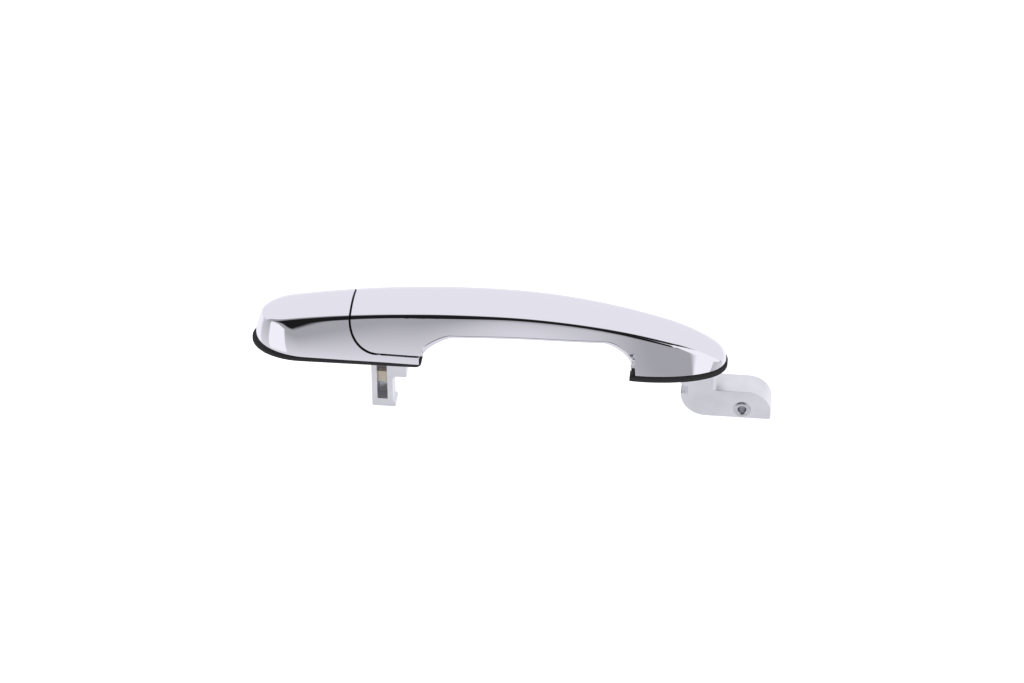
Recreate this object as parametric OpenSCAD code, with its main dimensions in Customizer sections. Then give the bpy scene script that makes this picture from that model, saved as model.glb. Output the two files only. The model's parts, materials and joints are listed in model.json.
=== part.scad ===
// Strap-type outer door handle: a chrome grip that swings on a front pivot, and a fixed end cap.
// The origin is the centre of the pivot bush. +X runs forward, +Y across, +Z out of the door.
// Heights inside the modules are counted from the door skin, and on_door() lifts them into place.

/* [Overall] */
// Length over both door gaskets
handle_l = 239.6; // [225:0.2:285]
// Width of the chrome feet at the door
foot_w = 38; // [35:0.5:44]
// Distance from the front tip of the gasket to the pivot axis
pivot_reach = 8.4; // [6:0.2:12]
// Depth of the pivot axis below the door skin
pivot_depth = 21.6; // [20:0.2:26]
// Height of the crease above the door at its highest point
crease_h = 29; // [26:0.5:34]
// Width between the creases at the widest place
crease_w = 27; // [24:0.5:32]
// Extra height of the crowned outer face above its creases
crown_h = 3; // [1.5:0.5:5]
// How far the crease falls from its highest point to the rear end
crease_drop_rear = 13.6; // [12:0.2:17]
// How far the crease falls from its highest point to the front tip
crease_drop_front = 20.1; // [16:0.5:21]
// Wall of the chrome shells
wall = 2.2; // [1.8:0.1:2.6]

/* [End cap] */
// Length of the end cap's outer face
cap_l = 51.6; // [46:0.2:58]
// Length of the tongue under the grip's rear foot
tongue_l = 35.5; // [34:0.5:42]
// Length over which the cap's rear end is rounded at the door
rear_end_l = 27; // [22:1:30]
// Height of the tongue's top above the door
tongue_top = 6.3; // [5.8:0.1:7]
// Gap between the cap and the grip
seam_gap = 1.1; // [0.6:0.1:1.3]
// Length of the curve in which the seam turns into the tongue
seam_turn = 14; // [12:0.5:15]

/* [Finger arch] */
// Height of the arch above the door
arch_h = 17; // [15:0.5:18.5]
// Length of the front foot at the door
front_foot_l = 47; // [46:0.5:54]
// Length of the arch's rear corner
arch_rear_l = 15; // [12:0.5:20]
// Length of the arch's front corner
arch_front_l = 14.5; // [12:0.5:20]

/* [Gaskets] */
// Thickness of the rear gasket
rear_gasket_t = 2.3; // [1.8:0.1:2.6]
// Thickness of the front gasket
front_gasket_t = 3; // [2.4:0.1:3.4]
// Height of the lip at the front gasket's rear end
lip_h = 6.5; // [5:0.5:8]
// Thickness of that lip
lip_t = 1.4; // [1:0.1:2]
// How far the gaskets stand out past the chrome
gasket_rim = 0.8; // [0.4:0.1:1.5]
// How far the rear gasket stands out past the chrome's rear end
rear_rim = 2; // [1:0.1:2.5]

/* [Rear hook] */
// Length of the hook's upper stem
hook_l = 16.4; // [15:0.2:18]
// Length of the hook's lower stem
hook_leg_l = 10.8; // [10:0.2:12]
// Thickness of the hook across the handle
hook_w = 9.6; // [8.5:0.1:11]
// Depth of the hook below the door
hook_depth = 35.4; // [33:0.2:40]
// Depth of the hook's shoulder below the door
shoulder_depth = 16.8; // [15:0.2:19]
// Length of the pocket in the hook
pocket_l = 5; // [4.4:0.1:5.6]
// Depth of the pocket across the hook
pocket_d = 7; // [6:0.1:7.6]

/* [Pivot arm] */
// Width over the arm's two cheeks
arm_w = 15; // [14:0.2:18]
// Thickness of each cheek
cheek_t = 2.4; // [2:0.1:3]
// Height of the arm's lobe
lobe_h = 15.8; // [14.5:0.1:17]
// Bore of the pivot bush
bush_bore_d = 4.1; // [3.5:0.1:4.5]
// Outside diameter of the pivot bush
bush_d = 6; // [5.6:0.1:7]
// Diameter of the bush's flared ends
bush_flare_d = 8.9; // [8:0.1:10]

/* [Fasteners] */
// Diameter of the screws that hold the hook and the arm
screw_d = 3.5; // [3:0.1:4]
// Outside diameter of their brass inserts
insert_d = 5.2; // [4.8:0.1:5.6]
// Thread bore in the end cap's insert
cap_thread_d = 4.2; // [3.3:0.1:4.2]
// Outside diameter of the end cap's insert
cap_insert_d = 7; // [6.4:0.1:7.4]
// Radial clearance of a pin or an insert in its hole
fit_gap = 0.04; // [0.02:0.01:0.08]

/* [Hidden] */
$fn = 48;
STEPS = 30;             // slices along the strap
END_STEPS = 9;          // slices in each rounded end
CROWN_STEPS = 6;        // facets across the crowned face
SIDE_STEPS = 3;         // facets down each side
CURVE_STEPS = 10;       // points on each drawn corner
SPAN = 60;              // wider than the handle, for cutters
LOW = -1;               // just below the chrome, for cutters
part_gap = 0.3;         // between nested parts
touch_gap = 0.02;       // between parts that rest on each other
tip_cut = 0.01;         // first slice of a rounded end, off its very tip
running_gap = 2.6;      // around the hook and the arm, for the swing
side_gap = 0.4;         // beside the hook and the arm, in the grip's underside
pocket_gap = 0.5;       // around the flanges, in the core
base_z = rear_gasket_t;

grip_overhang = 2;      // the grip's rear foot past the tongue
foot_blend = 9;         // how far the feet's widening reaches past the arch
apex_share = 0.53;      // place of the highest point along the handle
crease_inset = 5.5;     // rear end of the creases from the gasket's end
crease_end_l = 13.5;    // rounding of the creases at the rear end
crease_taper = 2.8;     // narrowing of the creases towards both ends
crease_mid = 38;        // widest place of the creases, behind the arch's middle
crease_span = 112;      // distance over which the taper is given
nose_l = 43.5;          // rounding of the front tip at the door
nose_fall_l = 24.8;     // fall of the creases at the front tip
nose_power = 2.2;
nose_blunt = 0.65;
nose_pinch = 0.4;       // narrowing of the creases above the front foot
rear_corner_power = 1.35;
front_corner_power = 1.45;

rear_x = -pivot_reach - handle_l;
front_x = -pivot_reach;
seam_x = rear_x + cap_l;
tongue_x = seam_x + tongue_l;
foot_rear_x = tongue_x + grip_overhang;
foot_front_x = front_x - front_foot_l;
arch_mid_x = (foot_rear_x + foot_front_x) / 2;
arch_half_l = (foot_front_x - foot_rear_x) / 2 + foot_blend;
apex_x = rear_x + apex_share * handle_l;
body_rear_x = rear_x + rear_rim;
body_front_x = front_x - gasket_rim;
crease_rear_x = rear_x + crease_inset;
grip_low = tongue_top + seam_gap;
foot_low = front_gasket_t + 0.2;
heel_low = lip_h + part_gap;

hook_inset = 24.9;      // front end of the tongue to the hook's rear face
hook_jog = 1.6;         // the hook's lower part further to the rear
hook_x = tongue_x - hook_inset;
hook_mid_x = hook_x + hook_l / 2;
hook_screw_y = 8.2;
hook_flange_low = grip_low + wall + part_gap;
hook_flange_t = 4;
hook_flange_w = 24.4;
hook_step = 1.5;        // chamfers at the shoulder
hook_toe_l = 1.2;       // the foot past the lower stem
hook_toe_h = 2;
pocket_low = -hook_depth + 4.9;
pocket_top = -9;
pocket_x = hook_x - hook_jog + (hook_leg_l - pocket_l) / 2;
pad_t = 3;
pad_h = 6;
pad_low = pocket_low + 8;

screw_head_d = 6;
screw_head_h = 2;
screw_l = 8;
insert_l = 5;
insert_room = 1.4;      // depth of an insert's hole past the insert

arm_flange_low = foot_low + wall;
arm_flange_t = 2.5;
arm_flange_l = 26.9;
arm_stem_rear_x = -31;
arm_stem_front_x = -18;
arm_stem_l = arm_stem_front_x - arm_stem_rear_x;
arm_flange_front_x = arm_stem_front_x - 2.5;
arm_flange_rear_x = arm_flange_front_x - arm_flange_l;
arm_screw_x = [-43.4, -35.6];
lobe_top = -pivot_depth + 10.8;
lobe_low = lobe_top - lobe_h;
lobe_end_r = 12.1;
lobe_end_x = 2.3;
lobe_heel_r = 13;
lobe_heel_x = -18;
notch_h = 4.9;
notch_l = 3.6;
notch_step = 1.5;
stem_foot_l = 2.4;      // widening of the stem where it meets the lobe
channel_w = arm_w - 2 * cheek_t;
channel_rear_x = lobe_heel_x - 6;
bush_flare_t = 0.8;

cap_screw_x = [rear_x + 12.5, seam_x - 11];
cap_boss_d = 7;
cap_boss_low = base_z + 6.3;
cap_screw_d = 3;
cap_screw_l = 7;
cap_screw_z = base_z + 3.2;
cap_plate_t = 2.5;
cap_plate_inset = wall + 1.4;
cap_block_x = rear_x + 26;
cap_block_l = 12;
cap_block_w = 10;
cap_thread_z = -5;
cap_block_low = cap_thread_z - cap_block_w / 2;
shell_screw_x = [foot_rear_x - 4.6, foot_front_x + 4.9];
shell_screw_z = [grip_low + 1.3, foot_low + 1.3];
shell_screw_l = [7, 9];
shell_screw_d = 2.8;
shell_head_d = 5;
shell_head_h = 1.2;
bumper_x = tongue_x - 3.4;
bumper_y = 12;
bumper_d = 5;
bumper_sink = 1.5;      // depth of the seats in the tongue

function clamp01(v) = min(1, max(0, v));
function smooth(v) = let (u = clamp01(v)) u * u * (3 - 2 * u);
// Share of the full width at a distance d from a rounded end of length r.
function round_end(d, r, n = 2) = d >= r ? 1 : pow(1 - pow(1 - max(d, 0) / r, n), 1 / n);

// Half width of the chrome at the door, before its ends are rounded.
function foot_half(x) = crease_w / 2 + (foot_w - crease_w) / 2 * smooth(abs(x - arch_mid_x) / arch_half_l);

// The same with rounded ends, after the chrome is inset by t on every side.
function low_half(x, t) =
    (foot_half(x) - t)
    * round_end(x - body_rear_x - t, rear_end_l - t)
    * round_end(body_front_x - t - x, nose_l - t, nose_power);

// Height of the crease above the door.
function crease_z(x, t) =
    let (span = x < apex_x ? apex_x - rear_x : front_x - apex_x)
    let (drop = x < apex_x ? crease_drop_rear : crease_drop_front)
    let (z = crease_h - drop * pow((x - apex_x) / span, 2))
    let (rise = clamp01((x - body_rear_x - t) / (crease_rear_x - body_rear_x)))
    let (nose = pow(round_end(body_front_x - t - x, nose_fall_l), nose_blunt))
    base_z + max(0.1, (z - base_z) * rise * nose - t);

// Half width between the creases.
function crease_half(x, t) =
    let (d = (x - arch_mid_x + crease_mid) / crease_span)
    let (near_tip = clamp01((x - body_front_x + nose_fall_l) / nose_fall_l))
    let (full = crease_w / 2 - crease_taper * d * d)
    let (into_nose = smooth((x - body_front_x + 2 * nose_fall_l) / nose_fall_l))
    let (nose = low_half(x, 0) * (1 - nose_pinch * into_nose + nose_pinch * pow(near_tip, 3)))
    max(0, (min(full, nose) - t) * round_end(x - crease_rear_x - t, crease_end_l - t));

function crown(x) = crown_h * clamp01(crease_half(x, 0) / crease_w * 2);

// The sides are barrelled at the cap and straight at the front tip.
function side_power(x) = 2 - 0.7 * smooth((x - arch_mid_x + 20) / 60);

// One side of a cross-section, from the height z0 up to the last facet under the crease.
function ring_side(x, low, top, z, z0) = concat(
    [[low, z0]],
    [for (k = [0 : SIDE_STEPS - 1])
        let (down = 1 - k / SIDE_STEPS)
        [top + (low - top) * (1 - pow(1 - down, side_power(x))), z - down * (z - base_z)]]);

// One cross-section of the chrome body: side, crease, crowned face, crease, side.
function ring(x, t, z0) =
    let (low = max(0.05, low_half(x, t)), top = max(0.04, min(crease_half(x, t), low)), z = crease_z(x, t))
    let (side = ring_side(x, low, top, z, z0))
    concat(
        [for (p = side) [x, -p[0], p[1]]],
        [for (i = [0 : CROWN_STEPS])
            let (s = 2 * i / CROWN_STEPS - 1)
            [x, top * s, z + crown(x) * (1 - s * s)]],
        [for (i = [SIDE_STEPS : -1 : 0]) [x, side[i][0], side[i][1]]]);

// Convex solid over the cross-sections at the given places.
module section_hull(places, t, z0) {
    n = CROWN_STEPS + 1 + 2 * (SIDE_STEPS + 1);
    points = [for (x = places) each ring(x, t, z0)];
    last = len(points) - n;
    hull()
        polyhedron(points, [
            [for (i = [0 : n - 1]) i],
            [for (i = [0 : n - 1]) last + n - 1 - i],
            for (k = [0 : len(places) - 2])
                for (i = [0 : n - 1])
                    [k * n + i, k * n + (i + 1) % n, (k + 1) * n + (i + 1) % n, (k + 1) * n + i]]);
}

// The chrome body between two places, inset by t, down to the height z0.
module body(t = 0, z0 = base_z, from = rear_x, to = front_x) {
    tail_x = body_rear_x + rear_end_l;
    nose_x = body_front_x - nose_fall_l;
    first = max(from, tail_x);
    final = min(to, nose_x);
    rear_tip = body_rear_x + t + tip_cut;
    front_tip = body_front_x - t - tip_cut;
    steps = ceil(STEPS * (final - first) / handle_l);
    if (from < tail_x)
        section_hull([for (i = [0 : END_STEPS])
            rear_tip + (tail_x - rear_tip) * (1 - cos(90 * i / END_STEPS))], t, z0);
    for (i = [0 : steps - 1])
        section_hull([for (k = [i, i + 1]) first + (final - first) * k / steps], t, z0);
    if (to > nose_x)
        section_hull([for (i = [0 : END_STEPS])
            front_tip - (front_tip - nose_x) * (1 - cos(90 * i / END_STEPS))], t, z0);
}

// A side profile pushed right across the handle.
module across(w = SPAN) {
    rotate([90, 0, 0])
        linear_extrude(w, center = true)
            children();
}

module on_door() {
    translate([0, 0, pivot_depth])
        children();
}

// The line of the seam, moved away from the cap by g.
function seam_curve(g) =
    let (rise = crease_z(seam_x, 0) - tongue_top)
    [for (i = [0 : CURVE_STEPS])
        let (a = 90 * i / CURVE_STEPS)
        [seam_x + g + seam_turn * (1 - cos(a)), tongue_top + g + rise * (1 - sin(a))]];

module cap_side() {
    polygon(concat(
        [[rear_x - 1, LOW], [rear_x - 1, SPAN], [seam_x, SPAN]],
        seam_curve(0),
        [[tongue_x, tongue_top], [tongue_x, LOW]]));
}

// Underside of the grip, moved up into it by t. The front foot is stepped back over the gasket's lip.
function arch_curve(t) =
    let (rear = foot_rear_x - t, front = foot_front_x + t, sole = front + lip_t + part_gap)
    let (rear_rise = arch_h - grip_low, front_rise = arch_h - heel_low)
    concat(
        [for (i = [0 : CURVE_STEPS])
            let (a = 90 * i / CURVE_STEPS, n = 2 / rear_corner_power)
            [rear + arch_rear_l * (1 - pow(cos(a), n)), grip_low + t + rear_rise * pow(sin(a), n)]],
        [for (i = [0 : CURVE_STEPS])
            let (a = 90 - 90 * i / CURVE_STEPS, n = 2 / front_corner_power)
            [front - arch_front_l * (1 - pow(cos(a), n)), heel_low + t + front_rise * pow(sin(a), n)]],
        [[sole, heel_low + t], [sole, foot_low + t]]);

// Side profile of the grip with its underside moved up by t and its rear end moved forward by s.
module grip_side(t = 0, s = 0) {
    polygon(concat(
        [[front_x + 1, foot_low + t], [front_x + 1, SPAN], [seam_x + seam_gap + s, SPAN]],
        [for (p = seam_curve(seam_gap)) [p.x + s, max(p.y, grip_low + t)]],
        arch_curve(t)));
}

module round_hole(x, y, d, z0, z1) {
    translate([x, y, z0])
        cylinder(h = z1 - z0, d = d);
}

// Side profile of everything behind a place, for cutters.
module square_before(x) {
    translate([rear_x - 1, LOW - 1])
        square([x - rear_x + 1, SPAN]);
}

// Flat outline from the points of its +Y half. The first and the last may lie on the middle line.
module mirrored_outline(side) {
    n = len(side) - 1;
    last = side[n].y > 0 ? n : n - 1;
    first = side[0].y > 0 ? 0 : 1;
    polygon(concat(side, [for (i = [last : -1 : first]) [side[i].x, -side[i].y]]));
}

// Places between two ends, close together near the first one.
function places(from, to) =
    [for (i = [0 : 2 * CURVE_STEPS]) from + (to - from) * (1 - cos(90 * i / (2 * CURVE_STEPS)))];

// Way for the hook and its shoulder through the tongue and the gasket.
module hook_opening(z0, z1) {
    w = hook_w + 2 * (part_gap + 1.4);
    translate([hook_x - running_gap, -w / 2, z0])
        cube([hook_l + 2 * running_gap, w, z1 - z0]);
}

// Chrome shell at the rear end, with the tongue that the grip's rear foot sits on.
module end_cap() {
    color("gainsboro")
        on_door()
            difference() {
                intersection() {
                    body(to = tongue_x + 1);
                    across() cap_side();
                }
                difference() {
                    intersection() {
                        body(wall, LOW, to = seam_x + seam_turn);
                        across() translate([-wall, 0]) square_before(seam_x);
                    }
                    for (x = cap_screw_x)
                        round_hole(x, 0, cap_boss_d, cap_boss_low, SPAN);
                }
                for (x = cap_screw_x)
                    round_hole(x, 0, cap_screw_d + 2 * fit_gap, LOW, cap_screw_z + cap_screw_l + 1);
                hook_opening(LOW, SPAN / 2);
                for (y = [-bumper_y, bumper_y])
                    round_hole(bumper_x, y, bumper_d + 0.2, tongue_top - bumper_sink, SPAN);
            }
}

// Plastic housing inside the cap, with the boss that goes down through the door.
module cap_base() {
    color("dimgray")
        on_door()
            difference() {
                union() {
                    translate([0, 0, base_z + touch_gap])
                        linear_extrude(cap_plate_t)
                            mirrored_outline([
                                for (x = places(body_rear_x + cap_plate_inset, seam_x - wall - part_gap))
                                    [x, low_half(x, cap_plate_inset)]]);
                    for (x = cap_screw_x)
                        round_hole(x, 0, cap_boss_d + 1, base_z + 1, cap_boss_low - part_gap);
                    translate([cap_block_x - cap_block_l / 2, -cap_block_w / 2, cap_block_low])
                        cube([cap_block_l, cap_block_w, base_z + 1 - cap_block_low]);
                }
                for (x = cap_screw_x) {
                    round_hole(x, 0, cap_screw_d + 0.4, LOW, SPAN);
                    round_hole(x, 0, screw_head_d + 0.4, LOW, cap_screw_z);
                }
                translate([cap_block_x, 0, cap_thread_z])
                    rotate([0, 90, 0])
                        cylinder(h = SPAN, d = cap_insert_d + 2 * fit_gap, center = true);
            }
}

// Brass thread for the one screw that holds the cap to the door.
module cap_insert() {
    color("goldenrod")
        on_door()
            translate([cap_block_x, 0, cap_thread_z])
                rotate([0, 90, 0])
                    difference() {
                        cylinder(h = cap_block_l, d = cap_insert_d, center = true);
                        cylinder(h = SPAN, d = cap_thread_d, center = true);
                    }
}

// A pan-head screw standing on its head, with its underside at the origin.
module screw(d, head_d, head_h, l) {
    translate([0, 0, -head_h])
        difference() {
            cylinder(h = head_h, d = head_d);
            translate([0, 0, -0.1])
                cylinder(h = head_h * 0.6, d = head_d * 0.4, $fn = 6);
        }
    translate([0, 0, -0.1])
        cylinder(h = l + 0.1, d = d);
}

module cap_screws() {
    color("silver")
        on_door()
            for (x = cap_screw_x)
                translate([x, 0, cap_screw_z - touch_gap])
                    screw(cap_screw_d, screw_head_d, screw_head_h, cap_screw_l);
}

module rear_gasket() {
    color("black")
        on_door()
            difference() {
                linear_extrude(rear_gasket_t)
                    mirrored_outline([
                        for (x = places(rear_x, tongue_x + gasket_rim))
                            [x, (foot_half(x) + gasket_rim) * round_end(x - rear_x, rear_end_l)]]);
                hook_opening(LOW, SPAN / 2);
                translate([cap_block_x - cap_block_l / 2 - 1, -cap_block_w / 2 - 1, LOW])
                    cube([cap_block_l + 2, cap_block_w + 2, SPAN]);
            }
}

// Outline of the front foot at the door, grown by g.
module front_outline(g) {
    n = 2 * CURVE_STEPS;
    side = [for (i = [0 : n])
        let (x = foot_front_x - gasket_rim + (body_front_x - foot_front_x + gasket_rim) * sin(90 * i / n))
        [x + g * i / n, (low_half(x, 0) + g) * (i == n ? 0 : 1)]];
    mirrored_outline(side);
}

module front_gasket() {
    front_way = 1.7 * running_gap;
    side_way = 0.6;
    color("black")
        on_door()
            difference() {
                union() {
                    linear_extrude(front_gasket_t)
                        front_outline(gasket_rim);
                    translate([foot_front_x, -foot_w / 2 + 1, 0])
                        cube([lip_t, foot_w - 2, lip_h]);
                }
                translate([arm_stem_rear_x - side_way, -arm_w / 2 - side_way, LOW])
                    cube([arm_stem_l + side_way + front_way, arm_w + 2 * side_way, SPAN]);
            }
}

// Rubber buttons on the tongue that the grip's rear foot lands on.
module cradle_bumpers() {
    color("black")
        on_door()
            for (y = [-bumper_y, bumper_y])
                round_hole(bumper_x, y, bumper_d, tongue_top - bumper_sink + touch_gap, grip_low - 0.2);
}

// Way for the hook's stem through the grip's shells.
module hook_way() {
    translate([hook_x - side_gap, -hook_w / 2 - side_gap, LOW])
        cube([hook_l + 2 * side_gap, hook_w + 2 * side_gap, hook_flange_low + 2]);
}

module grip_outer_shell() {
    color("gainsboro")
        on_door()
            difference() {
                intersection() {
                    body(from = seam_x);
                    across() grip_side(wall + 0.1);
                }
                intersection() {
                    body(wall, LOW, from = seam_x);
                    across() grip_side(-wall, wall);
                }
                hook_way();
            }
}

// Underside of the grip: the strip around the finger arch and the soles of both feet.
module grip_inner_shell() {
    color("lightgray")
        on_door()
            difference() {
                intersection() {
                    body(from = seam_x);
                    difference() {
                        across() grip_side();
                        across(SPAN + 2) grip_side(wall);
                    }
                }
                hook_way();
                translate([arm_stem_rear_x - side_gap, -arm_w / 2 - side_gap, LOW])
                    cube([arm_stem_l + 2 * side_gap, arm_w + 2 * side_gap, arm_flange_low + 2]);
                for (x = arm_screw_x)
                    round_hole(x, 0, screw_head_d + 1, LOW, arm_flange_low + 2);
                for (i = [0, 1]) {
                    round_hole(shell_screw_x[i], 0, shell_screw_d + 0.4, LOW, arch_h);
                    round_hole(shell_screw_x[i], 0, shell_head_d + 0.4, LOW, shell_screw_z[i]);
                }
            }
}

// Glass-filled beam inside the grip. The hook, the arm and the inner shell are screwed to it.
module grip_core() {
    inset = wall + part_gap;
    hook_seat = hook_flange_low + hook_flange_t + 0.05;
    arm_seat = arm_flange_low + arm_flange_t + 0.05;
    color("darkslategray")
        on_door()
            difference() {
                intersection() {
                    body(inset, from = seam_x, to = front_x);
                    across() grip_side(inset, inset);
                    translate([rear_x, -SPAN, 0])
                        cube([handle_l - 16, 2 * SPAN, SPAN]);
                }
                translate([hook_x - pocket_gap, -hook_flange_w / 2 - pocket_gap, LOW])
                    cube([hook_l + 2 * pocket_gap, hook_flange_w + 2 * pocket_gap, hook_seat - LOW]);
                translate([arm_flange_rear_x - pocket_gap, -arm_w / 2 - 2 * pocket_gap, LOW])
                    cube([SPAN, arm_w + 4 * pocket_gap, arm_seat - LOW]);
                for (y = [-hook_screw_y, hook_screw_y])
                    round_hole(hook_mid_x, y, insert_d + 0.2, 0, hook_seat + insert_l + insert_room);
                for (x = arm_screw_x)
                    round_hole(x, 0, insert_d + 0.2, 0, arm_seat + insert_l + insert_room);
                for (i = [0, 1])
                    round_hole(shell_screw_x[i], 0, shell_screw_d + 0.2, 0,
                        shell_screw_z[i] + shell_screw_l[i] + 1);
            }
}

// Side profile of the hook below its flange.
module hook_side() {
    leg_x = hook_x - hook_jog + hook_leg_l;
    polygon([
        [hook_x, hook_flange_low + 1],
        [hook_x, hook_jog - 1],
        [hook_x - hook_jog, -1],
        [hook_x - hook_jog, -hook_depth],
        [leg_x + hook_toe_l, -hook_depth],
        [leg_x + hook_toe_l, -hook_depth + hook_toe_h],
        [leg_x, -hook_depth + hook_toe_h + 1],
        [leg_x, -shoulder_depth - hook_step],
        [leg_x + hook_step, -shoulder_depth],
        [hook_x + hook_l, -shoulder_depth],
        [hook_x + hook_l, hook_flange_low + 1]]);
}

module rear_hook() {
    color("silver")
        on_door()
            difference() {
                union() {
                    across(hook_w) hook_side();
                    translate([hook_x, -hook_flange_w / 2, hook_flange_low])
                        cube([hook_l, hook_flange_w, hook_flange_t]);
                }
                translate([pocket_x, -hook_w / 2 - 1, pocket_low])
                    cube([pocket_l, pocket_d + 1, pocket_top - pocket_low]);
                for (y = [-hook_screw_y, hook_screw_y]) {
                    round_hole(hook_mid_x, y, screw_d + 0.3, 0, SPAN);
                    round_hole(hook_mid_x, y, screw_head_d + 0.3, 0, hook_flange_low + screw_head_h + 0.1);
                }
            }
}

// Plastic pad on the back wall of the hook's pocket.
module hook_wear_insert() {
    color("tan")
        on_door()
            translate([pocket_x + 0.05, -hook_w / 2 + pocket_d - pad_t - 0.05, pad_low])
                cube([pocket_l - 0.1, pad_t, pad_h]);
}

module hook_screws() {
    color("silver")
        on_door()
            for (y = [-hook_screw_y, hook_screw_y])
                translate([hook_mid_x, y, hook_flange_low + screw_head_h + 0.08])
                    screw(screw_d, screw_head_d, screw_head_h, screw_l);
}

module threaded_insert(h) {
    difference() {
        cylinder(h = h, d = insert_d);
        translate([0, 0, -1])
            cylinder(h = h + 2, d = screw_d + 2 * fit_gap);
    }
}

module hook_screw_inserts() {
    color("goldenrod")
        on_door()
            for (y = [-hook_screw_y, hook_screw_y])
                translate([hook_mid_x, y, hook_flange_low + hook_flange_t + 0.06])
                    threaded_insert(insert_l);
}

// Side profile of the arm's lobe: flat top, round front end, round heel.
module lobe_side() {
    translate([lobe_end_x, lobe_top - lobe_end_r])
        intersection() {
            circle(lobe_end_r);
            square(lobe_end_r);
        }
    translate([lobe_end_x, lobe_low])
        square([lobe_end_r, lobe_h - lobe_end_r]);
    translate([lobe_heel_x, lobe_low])
        square([lobe_end_x - lobe_heel_x, lobe_h]);
    intersection() {
        translate([lobe_heel_x, lobe_low + lobe_heel_r])
            circle(lobe_heel_r);
        translate([lobe_heel_x - lobe_heel_r - 1, lobe_low])
            square([lobe_heel_r + 1, lobe_heel_r]);
    }
}

// Side profile of the stem between the lobe and the grip, with the notch at its rear edge.
module stem_side() {
    heel_z = lobe_low + lobe_heel_r;
    notch_z = heel_z + notch_h;
    polygon([
        [arm_stem_rear_x, arm_flange_low + 1],
        [arm_stem_rear_x, notch_z + notch_step],
        [arm_stem_rear_x + notch_step, notch_z],
        [arm_stem_rear_x + notch_l, notch_z],
        [arm_stem_rear_x + notch_l, heel_z - 1],
        [arm_stem_front_x + stem_foot_l, heel_z - 1],
        [arm_stem_front_x + stem_foot_l, lobe_top + 3],
        [arm_stem_front_x, 0],
        [arm_stem_front_x, arm_flange_low + 1]]);
}

module pivot_arm() {
    color("lightsteelblue")
        difference() {
            union() {
                on_door()
                    across(arm_w) {
                        lobe_side();
                        stem_side();
                    }
                on_door()
                    translate([arm_flange_rear_x, -arm_w / 2, arm_flange_low])
                        cube([arm_flange_l, arm_w, arm_flange_t]);
            }
            on_door()
                across(channel_w) {
                    intersection() {
                        translate([lobe_end_x, lobe_top - lobe_end_r])
                            circle(lobe_end_r - cheek_t);
                        translate([-SPAN / 2, lobe_low - 1])
                            square([SPAN, SPAN]);
                    }
                    translate([channel_rear_x, lobe_low - 1])
                        square([lobe_end_x - channel_rear_x + lobe_end_r - cheek_t, lobe_h - lobe_end_r + 1]);
                    translate([channel_rear_x, lobe_low - 1])
                        square([lobe_end_x - channel_rear_x, lobe_h - cheek_t + 1]);
                }
            rotate([90, 0, 0])
                cylinder(h = SPAN, d = bush_d + 2 * fit_gap, center = true);
            on_door()
                for (x = arm_screw_x)
                    round_hole(x, 0, screw_d + 0.3, 0, SPAN);
        }
}

// Steel tube flared over both cheeks. Its bore is the pivot.
module pivot_bush() {
    color("silver")
        rotate([90, 0, 0])
            difference() {
                union() {
                    cylinder(h = arm_w + bush_flare_t, d = bush_d, center = true);
                    for (s = [-1, 1])
                        translate([0, 0, s * (arm_w / 2 + bush_flare_t / 2 + touch_gap)])
                            cylinder(h = bush_flare_t, d = bush_flare_d, center = true);
                }
                cylinder(h = SPAN, d = bush_bore_d, center = true);
            }
}

module arm_screws() {
    color("silver")
        on_door()
            for (x = arm_screw_x)
                translate([x, 0, arm_flange_low - touch_gap])
                    screw(screw_d, screw_head_d, screw_head_h - 0.2, screw_l);
}

module arm_screw_inserts() {
    color("goldenrod")
        on_door()
            for (x = arm_screw_x)
                translate([x, 0, arm_flange_low + arm_flange_t + 0.06])
                    threaded_insert(insert_l);
}

module shell_screws() {
    color("silver")
        on_door()
            for (i = [0, 1])
                translate([shell_screw_x[i], 0, shell_screw_z[i] - touch_gap])
                    screw(shell_screw_d, shell_head_d, shell_head_h, shell_screw_l[i]);
}

end_cap();
cap_base();
cap_insert();
cap_screws();
rear_gasket();
front_gasket();
cradle_bumpers();
grip_outer_shell();
grip_inner_shell();
grip_core();
rear_hook();
hook_wear_insert();
hook_screws();
hook_screw_inserts();
pivot_arm();
pivot_bush();
arm_screws();
arm_screw_inserts();
shell_screws();
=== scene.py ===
"""Builds the strap door handle's visual meshes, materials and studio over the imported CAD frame."""

import json
import math

import bmesh
import bpy
from bpy.props import FloatProperty, FloatVectorProperty, PointerProperty
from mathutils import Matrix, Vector


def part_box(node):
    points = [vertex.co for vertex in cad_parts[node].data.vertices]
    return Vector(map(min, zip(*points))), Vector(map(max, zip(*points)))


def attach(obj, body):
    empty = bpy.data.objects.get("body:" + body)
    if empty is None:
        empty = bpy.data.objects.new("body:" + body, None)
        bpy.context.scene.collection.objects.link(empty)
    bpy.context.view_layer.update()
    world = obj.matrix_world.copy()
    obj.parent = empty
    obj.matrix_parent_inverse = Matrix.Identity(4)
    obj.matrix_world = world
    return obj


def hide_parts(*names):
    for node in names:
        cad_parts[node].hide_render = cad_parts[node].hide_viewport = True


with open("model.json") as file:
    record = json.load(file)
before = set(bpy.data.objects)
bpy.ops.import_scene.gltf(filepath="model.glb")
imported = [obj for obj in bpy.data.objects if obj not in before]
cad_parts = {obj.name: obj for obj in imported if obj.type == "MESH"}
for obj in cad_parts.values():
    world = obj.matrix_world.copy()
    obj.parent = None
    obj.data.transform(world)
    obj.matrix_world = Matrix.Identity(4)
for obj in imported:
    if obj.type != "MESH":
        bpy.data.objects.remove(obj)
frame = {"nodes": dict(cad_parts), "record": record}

bl_info = {
    "name": "Strap Door Handle",
    "version": (1, 0, 0),
    "blender": (4, 5, 0),
    "location": "View3D > Sidebar > Handle",
    "description": "Builds a chrome strap door handle with its gaskets, hook and pivot arm",
    "category": "Add Mesh",
}

MM = 0.001


# ---------------------------------------------------------------- settings


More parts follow.
